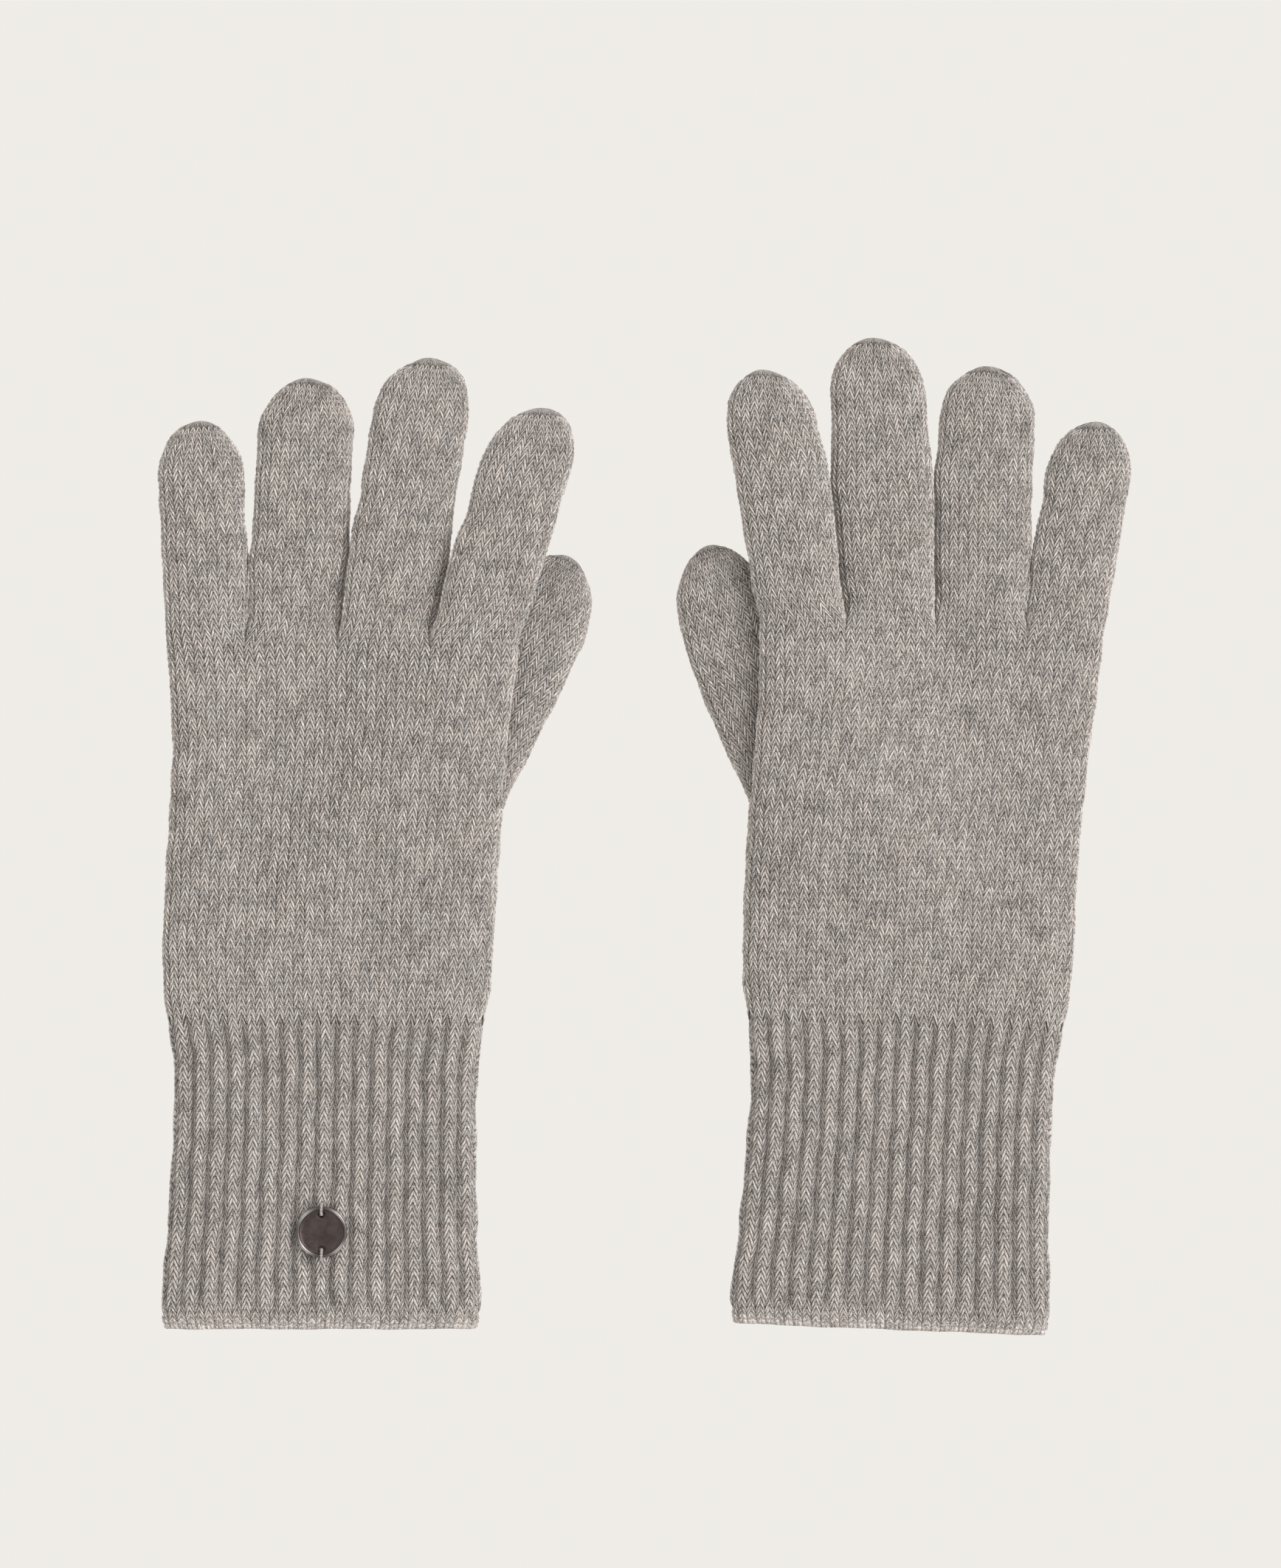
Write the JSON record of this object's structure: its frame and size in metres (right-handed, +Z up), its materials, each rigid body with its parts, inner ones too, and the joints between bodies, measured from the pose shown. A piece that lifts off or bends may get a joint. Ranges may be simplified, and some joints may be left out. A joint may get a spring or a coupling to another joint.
{
  "type": "pair of knitted gloves",
  "caption": "Pair of long-cuffed knitted wool gloves lying flat, palms down, with ribbed cuffs, folded-under thumbs and a small metal button sewn on the left cuff.",
  "frame": {"origin": "centre of the pair's outline, on the surface that the gloves lie on", "axes": "+Y towards the fingertips, +Z up from the surface, away from the palms; the left glove is on the -X side, thumbs point inwards"},
  "size_m": [0.2592, 0.2654, 0.0169],
  "materials": {
    "plain_knit": "heathered grey wool, plain knit, slightly fuzzy",
    "rib_knit": "heathered grey wool, one by one rib",
    "button_metal": "dark gunmetal plating, polished rim",
    "sewing_yarn": "grey sewing yarn"
  },
  "bodies": {
    "left_cuff": {"left_cuff_welt": "rib_knit", "left_rib_cuff": "rib_knit", "left_button": "button_metal", "left_button_yarn": "sewing_yarn"},
    "left_hand": {"left_lower_palm": "plain_knit", "left_upper_palm": "plain_knit"},
    "left_thumb": {"left_thumb_base": "plain_knit"},
    "left_thumb_end": {"left_thumb_tip": "plain_knit"},
    "left_index": {"left_index_base": "plain_knit"},
    "left_index_end": {"left_index_tip": "plain_knit"},
    "left_middle": {"left_middle_base": "plain_knit"},
    "left_middle_end": {"left_middle_tip": "plain_knit"},
    "left_ring": {"left_ring_base": "plain_knit"},
    "left_ring_end": {"left_ring_tip": "plain_knit"},
    "left_little": {"left_little_base": "plain_knit"},
    "left_little_end": {"left_little_tip": "plain_knit"},
    "right_cuff": {"right_cuff_welt": "rib_knit", "right_rib_cuff": "rib_knit"},
    "right_hand": {"right_lower_palm": "plain_knit", "right_upper_palm": "plain_knit"},
    "right_thumb": {"right_thumb_base": "plain_knit"},
    "right_thumb_end": {"right_thumb_tip": "plain_knit"},
    "right_index": {"right_index_base": "plain_knit"},
    "right_index_end": {"right_index_tip": "plain_knit"},
    "right_middle": {"right_middle_base": "plain_knit"},
    "right_middle_end": {"right_middle_tip": "plain_knit"},
    "right_ring": {"right_ring_base": "plain_knit"},
    "right_ring_end": {"right_ring_tip": "plain_knit"},
    "right_little": {"right_little_base": "plain_knit"},
    "right_little_end": {"right_little_tip": "plain_knit"}
  },
  "joints": [
    {"name": "left_wrist", "type": "hinge", "parent": "left_cuff", "child": "left_hand", "pos_m": [-0.0862, -0.04215, 0.0041], "axis": [-1, 0, 0], "range_deg": [-60, 70]},
    {"name": "left_thumb_swing", "type": "hinge", "parent": "left_hand", "child": "left_thumb", "pos_m": [-0.03728, 0.00835, 0.0041], "axis": [0, 0, -1], "range_deg": [0, 22]},
    {"name": "left_thumb_bend", "type": "hinge", "parent": "left_thumb", "child": "left_thumb_end", "pos_m": [-0.03581, 0.04105, 0.0041], "axis": [-0.9026, 0.4305, 0], "range_deg": [0, 70]},
    {"name": "left_index_knuckle", "type": "hinge", "parent": "left_hand", "child": "left_index", "pos_m": [-0.04497, 0.05005, 0.01275], "axis": [-1, 0, 0], "range_deg": [-40, 0]},
    {"name": "left_index_bend", "type": "hinge", "parent": "left_index", "child": "left_index_end", "pos_m": [-0.03681, 0.07995, 0.01275], "axis": [-1, 0, 0], "range_deg": [-10, 70]},
    {"name": "left_middle_knuckle", "type": "hinge", "parent": "left_hand", "child": "left_middle", "pos_m": [-0.06914, 0.05005, 0.00772], "axis": [-1, 0, 0], "range_deg": [-40, 85]},
    {"name": "left_middle_bend", "type": "hinge", "parent": "left_middle", "child": "left_middle_end", "pos_m": [-0.06371, 0.0857, 0.00772], "axis": [-1, 0, 0], "range_deg": [-10, 90]},
    {"name": "left_ring_knuckle", "type": "hinge", "parent": "left_hand", "child": "left_ring", "pos_m": [-0.09354, 0.05005, 0.0041], "axis": [-1, 0, 0], "range_deg": [-40, 85]},
    {"name": "left_ring_bend", "type": "hinge", "parent": "left_ring", "child": "left_ring_end", "pos_m": [-0.09166, 0.08317, 0.0041], "axis": [-1, 0, 0], "range_deg": [-10, 90]},
    {"name": "left_little_knuckle", "type": "hinge", "parent": "left_hand", "child": "left_little", "pos_m": [-0.11677, 0.05005, 0.0041], "axis": [-1, 0, 0], "range_deg": [-40, 85]},
    {"name": "left_little_bend", "type": "hinge", "parent": "left_little", "child": "left_little_end", "pos_m": [-0.11759, 0.07788, 0.0041], "axis": [-1, 0, 0], "range_deg": [-10, 90]},
    {"name": "right_glove_lift", "type": "slide", "parent": "left_cuff", "child": "right_cuff", "axis": [0, 0, 1], "range_m": [0, 0.06]},
    {"name": "right_wrist", "type": "hinge", "parent": "right_cuff", "child": "right_hand", "pos_m": [0.0688, -0.04232, 0.0041], "axis": [-0.9992, 0.0394, 0], "range_deg": [-60, 70]},
    {"name": "right_thumb_swing", "type": "hinge", "parent": "right_hand", "child": "right_thumb", "pos_m": [0.02767, 0.00984, 0.0041], "axis": [0, 0, 1], "range_deg": [0, 20]},
    {"name": "right_thumb_bend", "type": "hinge", "parent": "right_thumb", "child": "right_thumb_end", "pos_m": [0.0292, 0.04254, 0.0041], "axis": [-0.9383, -0.346, 0], "range_deg": [0, 70]},
    {"name": "right_index_knuckle", "type": "hinge", "parent": "right_hand", "child": "right_index", "pos_m": [0.04181, 0.05502, 0.01275], "axis": [-0.9992, 0.0394, 0], "range_deg": [-40, 0]},
    {"name": "right_index_bend", "type": "hinge", "parent": "right_index", "child": "right_index_end", "pos_m": [0.0373, 0.08719, 0.01275], "axis": [-0.9992, 0.0394, 0], "range_deg": [-10, 70]},
    {"name": "right_middle_knuckle", "type": "hinge", "parent": "right_hand", "child": "right_middle", "pos_m": [0.0654, 0.05409, 0.00693], "axis": [-0.9992, 0.0394, 0], "range_deg": [-40, 85]},
    {"name": "right_middle_bend", "type": "hinge", "parent": "right_middle", "child": "right_middle_end", "pos_m": [0.06367, 0.0903, 0.00693], "axis": [-0.9992, 0.0394, 0], "range_deg": [-10, 90]},
    {"name": "right_ring_knuckle", "type": "hinge", "parent": "right_hand", "child": "right_ring", "pos_m": [0.08922, 0.05315, 0.0041], "axis": [-0.9992, 0.0394, 0], "range_deg": [-40, 85]},
    {"name": "right_ring_bend", "type": "hinge", "parent": "right_ring", "child": "right_ring_end", "pos_m": [0.09047, 0.08625, 0.0041], "axis": [-0.9992, 0.0394, 0], "range_deg": [-10, 90]},
    {"name": "right_little_knuckle", "type": "hinge", "parent": "right_hand", "child": "right_little", "pos_m": [0.11189, 0.05226, 0.0041], "axis": [-0.9992, 0.0394, 0], "range_deg": [-40, 85]},
    {"name": "right_little_bend", "type": "hinge", "parent": "right_little", "child": "right_little_end", "pos_m": [0.11578, 0.07903, 0.0041], "axis": [-0.9992, 0.0394, 0], "range_deg": [-10, 90]}
  ]
}
